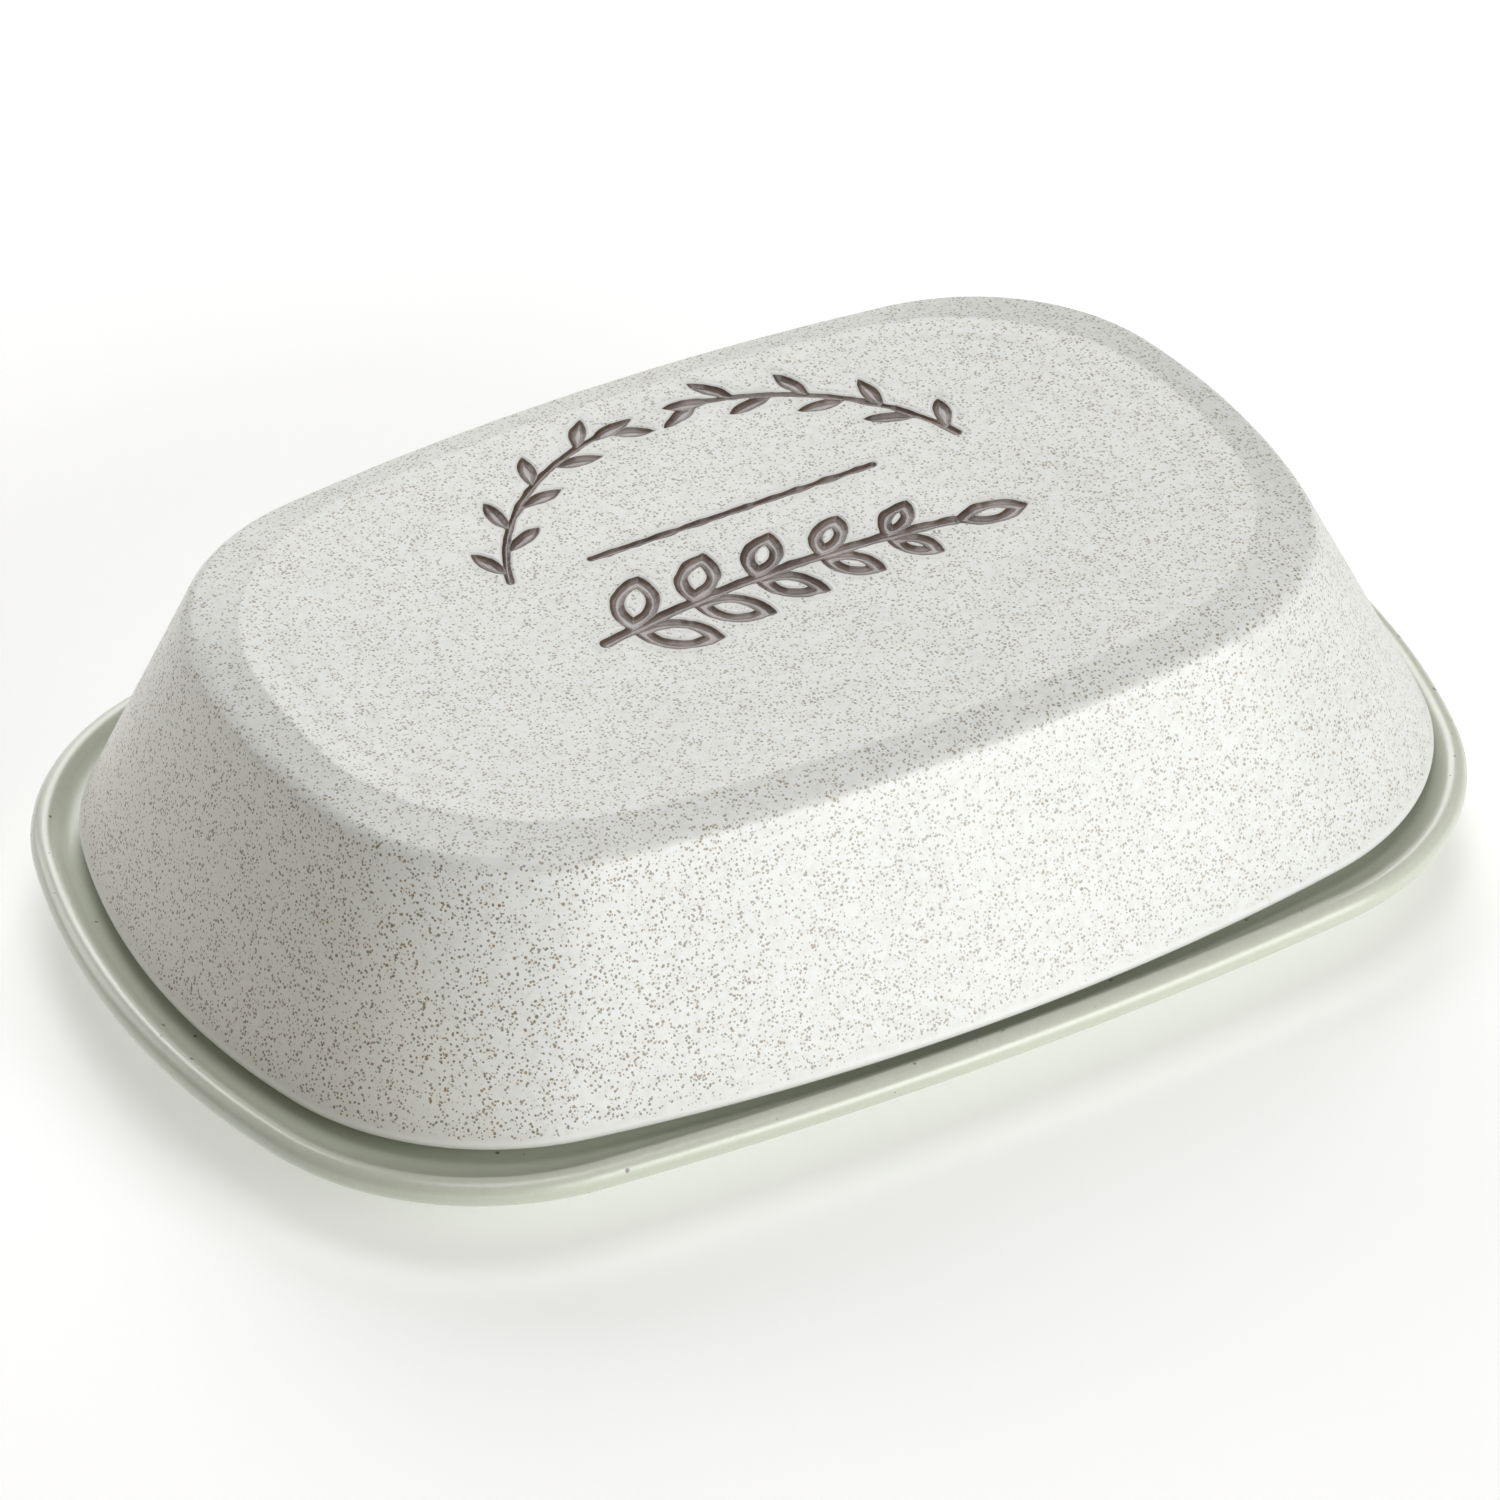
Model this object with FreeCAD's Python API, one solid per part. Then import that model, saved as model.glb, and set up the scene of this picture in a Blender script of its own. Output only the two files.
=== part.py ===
import FreeCAD, Part
import math
import os
from collections import namedtuple

# Butter crock: a shallow stoneware tray and a loose hollow cover, both glazed.
# Millimetres, +Z up, +X along the long side.
# The origin is the middle of the tray's foot, on the surface that it stands on.

Vector = FreeCAD.Vector

# An oblong plan of eight arcs that run smoothly into each other: two long sides,
# two ends and four corners.
Plan = namedtuple("Plan", "half_length half_width side_radius end_radius corner_radius")

# ---------------------------------------------------------------- driving dimensions

tray_plan = Plan(100.0, 70.3, 592.0, 133.0, 41.6)
tray_height = 14.0
lip_radius = 2.0
lip_under_angle = -68.0        # where the underside runs into the lip, seen from its centre
lip_slope_angle = 120.0        # where the lip runs into the slope inside it
ledge_inset = 5.8              # from the tray's edge to the flat ledge that carries the cover
ledge_height = 12.1
foot_inset = 24.0
foot_width = 4.0
foot_depth = 1.6
foot_draft = 0.8
well_inset = 8.5               # from the cover's plan to the edge of the well for the butter
# The well's profile, from its floor up: distance in from its edge, and depth below the ledge.
well_profile = [(10.0, 6.6), (6.0, 5.4), (1.6, 2.2), (0.0, 0.15)]
lip_angles = [lip_under_angle, -45, -20, 0, 20, 45, 70, 90]
lip_inner_angles = [lip_slope_angle, 105, 90]

cover_plan = Plan(95.35, 66.8, 316.6, 115.1, 40.4)     # at the cover's bottom edge
crest_plan = Plan(78.8, 52.2, 331.0, 115.6, 33.5)      # where the wall meets the facet above it
panel_plan = Plan(72.4, 46.2, 300.0, 110.0, 36.0)      # where the facet meets the nearly flat top
cover_x = 1.7                  # the loose cover rests a little to the right and to the back
cover_y = 0.4
rest_gap = 0.3                 # between the cover's rim and the ledge
edge_rise = 2.8                # from the rim's underside to the outer bottom edge
edge_round = (0.5, 0.6)        # width and height of the small bevel under that edge
rim_bevel = 4.2                # the rim slopes in by this much below the outer edge
rim_width = 2.2                # flat ring under the rim that rests on the ledge
crest_height = 50.5
crest_radius = 3.2             # of the rounding between the wall and the facet
wall_lean = 23.5               # of the cover's wall, in degrees from upright
facet_normal = 75.0            # angle of the facet's normal above the horizon
panel_edge_height = 52.1
panel_height = 52.3            # the top rises to this height, and is flat there
crown_run = 12.0               # width of that rise
crown_profile = [(0.0, 0.0), (0.35, 0.6), (1.0, 1.0)]    # shares of the run and of the rise
panel_clearance = 1.0          # how far the cutters of the ornament stand above the top
ceiling_height = 46.1          # of the hollow inside
ceiling_inset = 3.5            # from the crest's plan to the corner of the hollow under it
inner_radius = 8.0             # of the rounding in that corner

groove_depth = 0.9             # of the pressed ornament
glaze_depth = 0.35             # from the cover's surface down to the glaze in the grooves
ornament_x = 4.5               # the ornament's middle, from the cover's centre
garland_y = 1.5
garland_radius = 37.5
garland_start = 17.0
garland_end = 84.0
garland_leaves = 8
garland_leaf = (7.6, 2.5)      # length and width
garland_line = 1.2
rule_y = 11.7
rule_length = 45.0
rule_line = 1.3
sprig_top = -4.0               # highest point of the stem's arc
sprig_radius = 150.0
sprig_start = 102.0            # angles round the centre of the stem's arc
sprig_end = 80.5
sprig_pairs = 5
sprig_leaf = (13.2, 7.0)       # length and width of the largest leaf
sprig_taper = 0.62             # size of the smallest leaf, as a share of the largest
sprig_line = 2.0
sprig_spread = 48.0            # angle between a leaf and the stem

# ---------------------------------------------------------------- plans and stacks


def inset(plan, distance):
    """The plan moved inwards by a distance, all round."""
    return Plan(*(size - distance for size in plan))


def corner_centre(plan):
    """The centre of the corner arc that touches both the end arc and the side arc."""
    from_side = plan.side_radius - plan.corner_radius
    from_end = plan.end_radius - plan.corner_radius
    side = Vector(0, plan.half_width - plan.side_radius, 0)
    end = Vector(plan.half_length - plan.end_radius, 0, 0)
    apart = end.distanceToPoint(side)
    along = (from_side ** 2 - from_end ** 2 + apart ** 2) / (2 * apart)
    across = math.sqrt(from_side ** 2 - along ** 2)
    towards = (end - side).normalize()
    normal = Vector(towards.y, -towards.x, 0)
    return side + towards * along + normal * across


def angle_from(centre, point):
    return math.degrees(math.atan2(point.y - centre.y, point.x - centre.x))


def plan_wire(plan, height):
    """The plan's outline as a closed wire of eight arcs, from the +X end, anticlockwise."""
    corner = corner_centre(plan)
    end = Vector(plan.half_length - plan.end_radius, 0, 0)
    side = Vector(0, plan.half_width - plan.side_radius, 0)
    end_angle = angle_from(end, corner)
    side_angle = angle_from(side, corner)
    arcs = [(end, plan.end_radius, -end_angle, end_angle),
            (corner, plan.corner_radius, end_angle, side_angle),
            (side, plan.side_radius, side_angle, 180 - side_angle),
            (Vector(-corner.x, corner.y, 0), plan.corner_radius, 180 - side_angle, 180 - end_angle)]
    arcs += [(centre * -1, radius, first + 180, last + 180) for centre, radius, first, last in arcs]
    up = Vector(0, 0, 1)
    return Part.Wire([Part.makeCircle(radius, centre + Vector(0, 0, height), up, first, last)
                      for centre, radius, first, last in arcs])


def stack(levels):
    """A closed solid through plans at rising heights."""
    return Part.makeLoft([plan_wire(plan, height) for plan, height in levels], True, True)


def rounding(plan, centre_height, radius, angles):
    """Plans along a rounding about a centre line: 0 degrees is outwards and 90 is up."""
    return [(inset(plan, -radius * math.cos(math.radians(angle))),
             centre_height + radius * math.sin(math.radians(angle))) for angle in angles]


def eased(plan, height, radius, first, last, steps):
    """Plans along the rounding of a corner between two slopes whose normals have these angles."""
    middle = math.radians((first + last) / 2)
    reach = radius / math.cos(math.radians((last - first) / 2))
    centre_plan = inset(plan, reach * math.cos(middle))
    angles = [first + (last - first) * step / steps for step in range(steps + 1)]
    return rounding(centre_plan, height - reach * math.sin(middle), radius, angles)


# ---------------------------------------------------------------- tray


def make_tray():
    lip_centre = inset(tray_plan, lip_radius)
    lip_height = tray_height - lip_radius
    outside = [(inset(tray_plan, foot_inset + foot_draft), 0),
               (inset(tray_plan, foot_inset), foot_depth)]
    outside += rounding(lip_centre, lip_height, lip_radius, lip_angles)
    body = stack(outside)
    well_plan = inset(cover_plan, well_inset)
    inside = [(inset(well_plan, distance), ledge_height - depth) for distance, depth in well_profile]
    inside.append((inset(tray_plan, ledge_inset), ledge_height))
    inside += rounding(lip_centre, lip_height, lip_radius, lip_inner_angles)
    recess = stack([(inset(tray_plan, foot_inset + foot_width), 0),
                    (inset(tray_plan, foot_inset + foot_width + foot_draft), foot_depth)])
    return body.cut(stack(inside)).cut(recess)


# ---------------------------------------------------------------- cover

rim_height = ledge_height + rest_gap
edge_height = rim_height + edge_rise


def make_cover_outside():
    crown_rise = panel_height - panel_edge_height
    levels = [(inset(cover_plan, rim_bevel), rim_height),
              (inset(cover_plan, edge_round[0]), edge_height - edge_round[1]),
              (cover_plan, edge_height)]
    levels += eased(crest_plan, crest_height, crest_radius, wall_lean, facet_normal, 4)
    levels += [(inset(panel_plan, crown_run * run), panel_edge_height + crown_rise * rise)
               for run, rise in crown_profile]
    return stack(levels)


def make_cover_inside():
    """The hollow in the cover, as a solid."""
    levels = [(inset(cover_plan, rim_bevel + rim_width), rim_height)]
    levels += eased(inset(crest_plan, ceiling_inset), ceiling_height, inner_radius, wall_lean, 90, 5)
    return stack(levels)


# ---------------------------------------------------------------- ornament


def polar(radius, angle):
    return Vector(radius * math.cos(math.radians(angle)), radius * math.sin(math.radians(angle)), 0)


def arc(first, middle, last):
    return Part.Arc(first, middle, last).toShape()


def bar(first, last, width):
    """A straight stroke with round ends."""
    along = (last - first).normalize() * (width / 2)
    side = Vector(-along.y, along.x, 0)
    edges = [Part.makeLine(first - side, last - side),
             arc(last - side, last + along, last + side),
             Part.makeLine(last + side, first + side),
             arc(first + side, first - along, first - side)]
    return Part.Face(Part.Wire(edges))


def band(centre, radius, first, last, width):
    """A stroke along an arc, with round ends."""
    middle = (first + last) / 2
    inner = radius - width / 2
    outer = radius + width / 2
    cap = math.degrees(width / 2 / radius)
    edges = [arc(centre + polar(outer, first), centre + polar(outer, middle), centre + polar(outer, last)),
             arc(centre + polar(outer, last), centre + polar(radius, last + cap),
                 centre + polar(inner, last)),
             arc(centre + polar(inner, last), centre + polar(inner, middle), centre + polar(inner, first)),
             arc(centre + polar(inner, first), centre + polar(radius, first - cap),
                 centre + polar(outer, first))]
    return Part.Face(Part.Wire(edges))


def leaf(base, angle, length, width):
    """A pointed leaf of two arcs, from its base along an angle."""
    tip = base + polar(length, angle)
    middle = base + polar(length / 2, angle)
    side = polar(width / 2, angle + 90)
    edges = [arc(base, middle - side, tip), arc(tip, middle + side, base)]
    return Part.Face(Part.Wire(edges))


def leaf_line(base, angle, length, width, line):
    """A leaf drawn as a line of one width round an open middle."""
    inner_length = length - 3.2 * line
    inner = leaf(base + polar(1.6 * line, angle), angle, inner_length, width - 2 * line)
    return leaf(base, angle, length, width).cut(inner)


def make_garland():
    """Two leafy twigs that rise on an arch from both sides and nearly meet at the top."""
    centre = Vector(ornament_x, garland_y, 0)
    length, width = garland_leaf
    step = (garland_end - garland_start) / garland_leaves
    tip = garland_end - step
    leaves = [(tip - 0.8, 92)]
    for number in range(garland_leaves):
        outwards = number % 2 == 0
        leaves.append((garland_start + step * (number + 0.35), 52 if outwards else 128))
    strokes = [band(centre, garland_radius, garland_start, tip, garland_line),
               band(centre, garland_radius, 180 - tip, 180 - garland_start, garland_line)]
    for at, tilt in leaves:
        strokes.append(leaf(centre + polar(garland_radius, at), at + tilt, length, width))
        strokes.append(leaf(centre + polar(garland_radius, 180 - at), 180 - at - tilt, length, width))
    return strokes


def make_rule():
    middle = Vector(ornament_x - 1, rule_y, 0)
    half = Vector(rule_length / 2, 0, 0)
    return [bar(middle - half, middle + half, rule_line)]


def make_sprig():
    """A lying sprig: a curved stem with pairs of leaves that get smaller, and a leaf at its tip."""
    centre = Vector(ornament_x, sprig_top - sprig_radius, 0)
    strokes = [band(centre, sprig_radius, sprig_end, sprig_start, sprig_line)]
    length, width = sprig_leaf
    for number in range(sprig_pairs):
        share = number / sprig_pairs
        at = sprig_start + (sprig_end - sprig_start) * (0.08 + 0.92 * share)
        size = 1 - (1 - sprig_taper) * share
        base = centre + polar(sprig_radius, at)
        for side in (1, -1):
            angle = at - 90 + side * sprig_spread
            strokes.append(leaf_line(base, angle, length * size, width * size, sprig_line))
    tip = centre + polar(sprig_radius, sprig_end)
    strokes.append(leaf_line(tip, sprig_end - 90, length * 0.85, width * 0.8, sprig_line))
    return strokes


def block(strokes, low, high):
    """Flat strokes made solid between two heights, and joined where they meet."""
    solids = []
    for stroke in strokes:
        lifted = stroke.copy()
        lifted.translate(Vector(0, 0, low))
        solids.append(lifted.extrude(Vector(0, 0, high - low)))
    if len(solids) == 1:
        return solids[0]
    return solids[0].multiFuse(solids[1:]).removeSplitter()


def write(name, shape, x=0, y=0):
    placed = shape.copy()
    placed.translate(Vector(x, y, 0))
    placed.exportStep(os.path.join("parts", name + ".step"))


os.makedirs("parts", exist_ok=True)
write("tray", make_tray())

cover = make_cover_outside().cut(make_cover_inside())
groove_floor = panel_height - groove_depth
ornament = {"garland_glaze": make_garland(), "rule_glaze": make_rule(), "sprig_glaze": make_sprig()}
for name, strokes in ornament.items():
    cover = cover.cut(block(strokes, groove_floor, panel_height + panel_clearance))
    write(name, block(strokes, groove_floor, panel_height - glaze_depth), cover_x, cover_y)
write("cover", cover, cover_x, cover_y)
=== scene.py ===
import math
from collections import namedtuple

import bpy
import numpy as np
from mathutils import Matrix, Vector
from mathutils.geometry import delaunay_2d_cdt


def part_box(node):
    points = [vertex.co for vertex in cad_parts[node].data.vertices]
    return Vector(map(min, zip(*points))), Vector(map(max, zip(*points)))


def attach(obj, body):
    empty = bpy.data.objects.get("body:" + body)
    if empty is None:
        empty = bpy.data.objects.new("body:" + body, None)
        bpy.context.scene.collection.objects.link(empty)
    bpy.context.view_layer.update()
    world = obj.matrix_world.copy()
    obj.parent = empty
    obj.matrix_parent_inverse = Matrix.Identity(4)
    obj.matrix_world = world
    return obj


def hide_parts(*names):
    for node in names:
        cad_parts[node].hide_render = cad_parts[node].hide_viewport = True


# Butter crock: a sage green tray and a speckled off-white cover with brown pressed ornament.
# Shapes are worked out in millimetres, and MM turns them into Blender's metres.
# Places and overall sizes come from the frame. Most other sizes repeat the CAD's own. The finest
# ones, such as small roundings, ripples and swollen clay, are only here.

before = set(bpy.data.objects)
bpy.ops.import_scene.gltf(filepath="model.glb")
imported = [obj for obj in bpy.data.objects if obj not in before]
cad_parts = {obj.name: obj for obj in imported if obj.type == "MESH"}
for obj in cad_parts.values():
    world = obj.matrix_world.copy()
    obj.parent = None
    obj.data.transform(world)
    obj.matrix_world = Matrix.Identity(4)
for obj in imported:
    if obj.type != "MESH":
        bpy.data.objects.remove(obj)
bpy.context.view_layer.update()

MM = 0.001
tray_low, tray_high = (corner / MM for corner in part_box("tray"))
cover_low, cover_high = (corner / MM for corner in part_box("cover"))

# An oblong plan of eight arcs that run smoothly into each other: two long sides,
# two ends and four corners.
Plan = namedtuple("Plan", "half_length half_width side_radius end_radius corner_radius")

# ---------------------------------------------------------------- sizes of the tray

tray_plan = Plan((tray_high.x - tray_low.x) / 2, (tray_high.y - tray_low.y) / 2, 592.0, 133.0, 41.6)
tray_centre = ((tray_high + tray_low) / 2).to_2d()
tray_height = tray_high.z

lip_radius = 2.0
lip_under_angle = -68.0        # where the lip's rounding begins; 0 is outwards and 90 is up
lip_slope_angle = 120.0        # where it ends
ledge_inset = 5.8
ledge_height = 12.1
ledge_bend = 1.6               # size of the soft hollow between the slope and the ledge

well_inset = 8.5               # from the cover's plan to the well
well_edge_inset = 0.8          # from there to the inner end of the edge's rounding
well_edge_radius = 1.2
well_floor = 5.5
well_floor_radius = 6.0
well_wall_run = 8.4            # from the edge to the flat floor

foot_inset = 24.0
foot_width = 4.0
foot_depth = 1.6
foot_round = 0.5
foot_inner_side = 0.8          # height of the upright inner side
foot_outer_inset = 0.3         # its outer side ends this far inside foot_inset
foot_bevel_run = 0.8           # from the foot to the underside round it
foot_bevel_rise = 0.6

# ---------------------------------------------------------------- sizes of the cover

cover_plan = Plan((cover_high.x - cover_low.x) / 2, (cover_high.y - cover_low.y) / 2, 316.6, 115.1, 40.4)
crest_plan = Plan(78.8, 52.2, 331.0, 115.6, 33.5)     # where the wall meets the facet above it
panel_plan = Plan(72.4, 46.2, 300.0, 110.0, 36.0)     # where the facet meets the top
cover_centre = ((cover_high + cover_low) / 2).to_2d()

rim_height = cover_low.z
rim_bevel = 4.2
rim_width = 2.2
rim_round = 0.6                # at the inner edge of the rim
bevel_ease = 0.4               # the rim's flat foot ends this far inside the bevel
bevel_first_run = 0.3          # the first ring on the bevel lies this far out
bevel_first_rise = 0.15        # and this far up
edge_height = rim_height + 2.8
edge_radius = 0.9
edge_drop = 0.1                # from the edge's height to the centre of its rounding
edge_under_angle = -60.0       # where the rounding begins
wall_lean = 23.5
crest_height = 50.5
crest_radius = 3.2
facet_normal = 75.0            # angle of the facet's normal above the horizon
panel_edge_height = 52.1
panel_edge_radius = 3.5
panel_height = cover_high.z
crown_normal = 88.0            # angle of the top's normal where the top begins
crown_run = 12.0               # the top rises over this width from the facet, then is flat
ceiling_height = 46.1
ceiling_inset = 3.5            # from the crest's plan to the corner under it, inside
inner_radius = 8.0

# Faint relief of the glazed clay. Each pair is where a fade begins and where it ends.

ripple_height = 0.075          # of the rings that follow the panel's edge
ripple_width = 5.0
ripple_grows = (1.0, 4.0)      # inwards from the panel's edge
ripple_fades = (4.0, 36.0)     # the same
calm_centre = -10.0            # the relief is faintest near this x
calm_edge = (15.0, 60.0)       # and grows away from it
calm_share = 0.25              # what is left of the relief there
wave_height = 0.05             # of a random waviness
wave_length = 24.0
wall_ripple = 0.030            # of the level steps on the wall
wall_ripple_pitch = 3.0
wall_ripple_grows = (20.0, 70.0)     # towards the left end
wall_ripple_share = 0.25       # what is left of it elsewhere
wall_ripple_ease = 1 / 8       # share of the wall's height over which it fades above and below

# ---------------------------------------------------------------- sizes of the ornament

ornament_x = 4.5
ornament_reach = (50.0, 48.0)  # half sizes of the area round it that gets a fine mesh
garland_y = 1.5
garland_radius = 37.5
garland_start = 17.0
garland_end = 84.0
garland_leaves = 8
garland_leaf = (7.6, 2.5)
garland_line = 1.2
garland_tilt = 52.0            # of a leaf from the arch's radius
rule_x = 3.5
rule_y = 11.7
rule_length = 45.0
rule_line = 1.3
sprig_top = -4.0
sprig_radius = 150.0
sprig_start = 102.0
sprig_end = 80.5
sprig_pairs = 5
sprig_first = 0.08             # share of the stem before the first pair of leaves
sprig_leaf = (13.2, 7.0)
sprig_taper = 0.62
sprig_tip_leaf = (0.85, 0.80)  # the leaf at the tip, against the first pair
sprig_line = 2.0
sprig_spread = 48.0
stroke_fillet = 0.35           # where strokes meet

line_wobble = 0.10             # hand-pressed lines are uneven by this much
line_wobble_length = 5.0
fine_wobble = 0.04
fine_wobble_length = 1.6

groove_depth = 0.9
groove_wall = 0.55             # width of the slope from a groove's edge to its floor
groove_brink = 0.10            # the clay falls by this much just before the edge
groove_brink_width = 0.16
swell_height = 0.14            # the clay beside a groove stands up by this much
swell_width = 0.5
glaze_brink = 0.09             # the brown glaze begins this far below the swollen clay
glaze_hollow = 0.46            # and is this much lower in the middle of a wide line
glaze_hollow_width = 1.05
glaze_overlap = 0.06           # the glaze's body goes this far into the clay under it
clear_width = 1.3              # the white glaze beside a groove has fewer specks over this width

# ---------------------------------------------------------------- sizes of the meshes

ring_count = 360               # points round an outline
mesh_step = 0.17               # of the finest mesh, along the edges of the grooves
row_ratio = math.sqrt(0.75)    # distance between the rows of a triangular lattice, in steps
# The fine lattice is used in strides of so many steps, between these distances from a groove's edge.
lattice_spans = [(1, -0.2, 0.6), (2, -9.0, 1.4), (4, -9.0, 3.0)]
coarse_step = mesh_step * 8    # of the mesh away from the ornament
coarse_from = 2.4              # the coarse mesh begins this far from the grooves
top_edge = 1.2                 # the top's triangles begin this far inside the panel's edge

# ---------------------------------------------------------------- camera and light

camera_azimuth = -27.43        # in degrees: 0 is in front, and below 0 is on the left
camera_elevation = 36.23
camera_roll = -2.0
camera_distance = 1530.92
camera_aim = (-0.24, 16.29)    # in the view, its middle is this far right of the origin and above it
camera_lens = 257.6

# Lights: distance and size in metres; azimuth and elevation in degrees, and power in watts.
light_distance = 1.7
light_size = 0.9
lights = {
    "key_light": (28, 16, 13.2),
    "front_light": (6, 16, 7.4),
    "top_light": (0, 86, 7.2),
    "high_back_light": (155, 43, 9.5),
    "low_back_light": (168, 20, 3.8),
}
near_light_distance = 0.8
near_light_size = 0.4
near_light = (-150, 24, 1.1)

# ---------------------------------------------------------------- plans


def inset(plan, distance):
    """The plan moved inwards by a distance, all round."""
    return Plan(*(size - distance for size in plan))


def corner_of(plan):
    """The centre of the corner arc, and the angles at which it meets the end and the side."""
    end = np.array([plan.half_length - plan.end_radius, 0.0])
    side = np.array([0.0, plan.half_width - plan.side_radius])
    from_end = plan.end_radius - plan.corner_radius
    from_side = plan.side_radius - plan.corner_radius
    apart = np.hypot(*(end - side))
    along = (from_side ** 2 - from_end ** 2 + apart ** 2) / (2 * apart)
    across = math.sqrt(from_side ** 2 - along ** 2)
    towards = (end - side) / apart
    centre = side + towards * along + np.array([towards[1], -towards[0]]) * across
    end_angle = math.atan2(centre[1] - end[1], centre[0] - end[0])
    side_angle = math.atan2(centre[1] - side[1], centre[0] - side[0])
    return centre, end_angle, side_angle


def outline(plan, normals):
    """Points of the plan's outline at which its outward normal has these angles."""
    corner, end_angle, side_angle = corner_of(plan)
    run = np.abs(np.cos(normals))
    rise = np.abs(np.sin(normals))
    quarter = np.arctan2(rise, run)
    where = [quarter < end_angle, quarter > side_angle]
    radius = np.select(where, [plan.end_radius, plan.side_radius], plan.corner_radius)
    centre_x = np.select(where, [plan.half_length - plan.end_radius, 0.0], corner[0])
    centre_y = np.select(where, [0.0, plan.half_width - plan.side_radius], corner[1])
    x = (centre_x + radius * run) * np.sign(np.cos(normals))
    y = (centre_y + radius * rise) * np.sign(np.sin(normals))
    return np.stack([x, y], axis=1)


def depth_inside(plan, points):
    """How far inside the plan's outline the points lie."""
    corner, end_angle, side_angle = corner_of(plan)
    x, y = np.abs(points).T
    from_end = plan.end_radius - np.hypot(x - plan.half_length + plan.end_radius, y)
    from_side = plan.side_radius - np.hypot(x, y - plan.half_width + plan.side_radius)
    from_corner = plan.corner_radius - np.hypot(x - corner[0], y - corner[1])
    angle = np.arctan2(y - corner[1], x - corner[0])
    at_corner = (angle > end_angle) & (angle < side_angle)
    return np.where(at_corner, from_corner, np.minimum(from_end, from_side))


def even_normals(plan, count):
    """Angles of the normal that divide the plan's outline into equal steps."""
    angles = np.linspace(0, 2 * math.pi, 20001)
    steps = np.linalg.norm(np.diff(outline(plan, angles), axis=0), axis=1)
    length = np.concatenate([[0], np.cumsum(steps)])
    return np.interp(np.arange(count) / count * length[-1], length, angles)


normals = even_normals(cover_plan, ring_count)

# ---------------------------------------------------------------- rings and meshes


def smooth_step(values):
    """0 for a value of 0 or less, 1 for a value of 1 or more, and a smooth change between."""
    share = np.clip(values, 0, 1)
    return share * share * (3 - 2 * share)


def smooth_between(values, span):
    """The same, for values that go from the span's first number to its last."""
    first, last = span
    return smooth_step((values - first) / (last - first))


def ring(plan, height):
    """Points round a plan's outline at a height."""
    return np.column_stack([outline(plan, normals), np.full(ring_count, height)])


def rounding(plan, centre_height, radius, first, last, steps):
    """Rings along a rounding about a centre line: 0 degrees is outwards and 90 is up.
    A radius below zero turns it about, for a hollow."""
    angles = np.radians(np.linspace(first, last, steps + 1))
    return [ring(inset(plan, -radius * math.cos(angle)), centre_height + radius * math.sin(angle))
            for angle in angles]


def eased(plan, height, radius, first, last, steps):
    """Rings along the rounding of a corner between two slopes whose normals have these angles."""
    middle = math.radians((first + last) / 2)
    reach = radius / math.cos(math.radians((last - first) / 2))
    centre_plan = inset(plan, reach * math.cos(middle))
    return rounding(centre_plan, height - reach * math.sin(middle), radius, first, last, steps)


def slope(first, last, steps):
    """Rings between two rings, without them, closer together near both."""
    shares = 0.5 - 0.5 * np.cos(np.linspace(0, math.pi, steps + 1)[1:-1])
    return [first + (last - first) * share for share in shares]


def disc(rim, growing):
    """Rings that fill a flat rim ring towards its middle."""
    scales = [0.06, 0.2, 0.4, 0.6, 0.8, 0.93]
    rings = [rim * [scale, scale, 1] for scale in scales]
    return rings if growing else rings[::-1]


def ring_faces(levels):
    """Quads between rings of points that lie one after the other."""
    faces = []
    for level in range(levels - 1):
        low = level * ring_count
        high = low + ring_count
        for number in range(ring_count):
            after = (number + 1) % ring_count
            faces.append((low + number, low + after, high + after, high + number))
    return faces


def cap_faces(first, upwards):
    """One face with as many sides as a ring has points."""
    corners = tuple(range(first, first + ring_count))
    return [corners if upwards else corners[::-1]]


def make_object(name, points, faces, centre):
    """A smooth mesh object from points in millimetres about a centre in the frame."""
    placed = (points + [centre[0], centre[1], 0]) * MM
    mesh = bpy.data.meshes.new(name)
    mesh.from_pydata(placed.tolist(), [], faces)
    mesh.shade_smooth()
    mesh.update()
    piece = bpy.data.objects.new(name, mesh)
    bpy.context.scene.collection.objects.link(piece)
    return piece


def store(piece, name, values):
    """A number for each point of the mesh, for its material to read."""
    attribute = piece.data.attributes.new(name, "FLOAT", "POINT")
    attribute.data.foreach_set("value", np.asarray(values, np.float32))


# ---------------------------------------------------------------- tray


def foot_rings():
    """The underside and the foot ring, from the middle outwards."""
    underside = ring(inset(tray_plan, foot_inset + foot_width + 2 * foot_round), foot_depth)
    inner = inset(tray_plan, foot_inset + foot_width - foot_round)
    outer = inset(tray_plan, foot_inset + 2 * foot_round)
    rings = disc(underside, growing=True) + [underside]
    rings.append(ring(inset(inner, foot_round), foot_inner_side))
    rings += rounding(inner, foot_round, -foot_round, 0, 90, 4)
    rings += rounding(outer, foot_round, foot_round, -90, -10, 4)
    rings.append(ring(inset(tray_plan, foot_inset + foot_outer_inset), foot_depth))
    rings.append(ring(inset(tray_plan, foot_inset - foot_bevel_run), foot_depth + foot_bevel_rise))
    return rings


def ledge_bend_rings():
    """The soft hollow where the slope inside the lip turns into the ledge."""
    run = 2.4 * ledge_bend
    rise = 0.55 * ledge_bend
    return [ring(inset(tray_plan, ledge_inset - ledge_bend + run * share),
                 ledge_height + rise * (1 - share) ** 2)
            for share in (0, 0.3, 0.55, 0.8, 1)]


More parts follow.
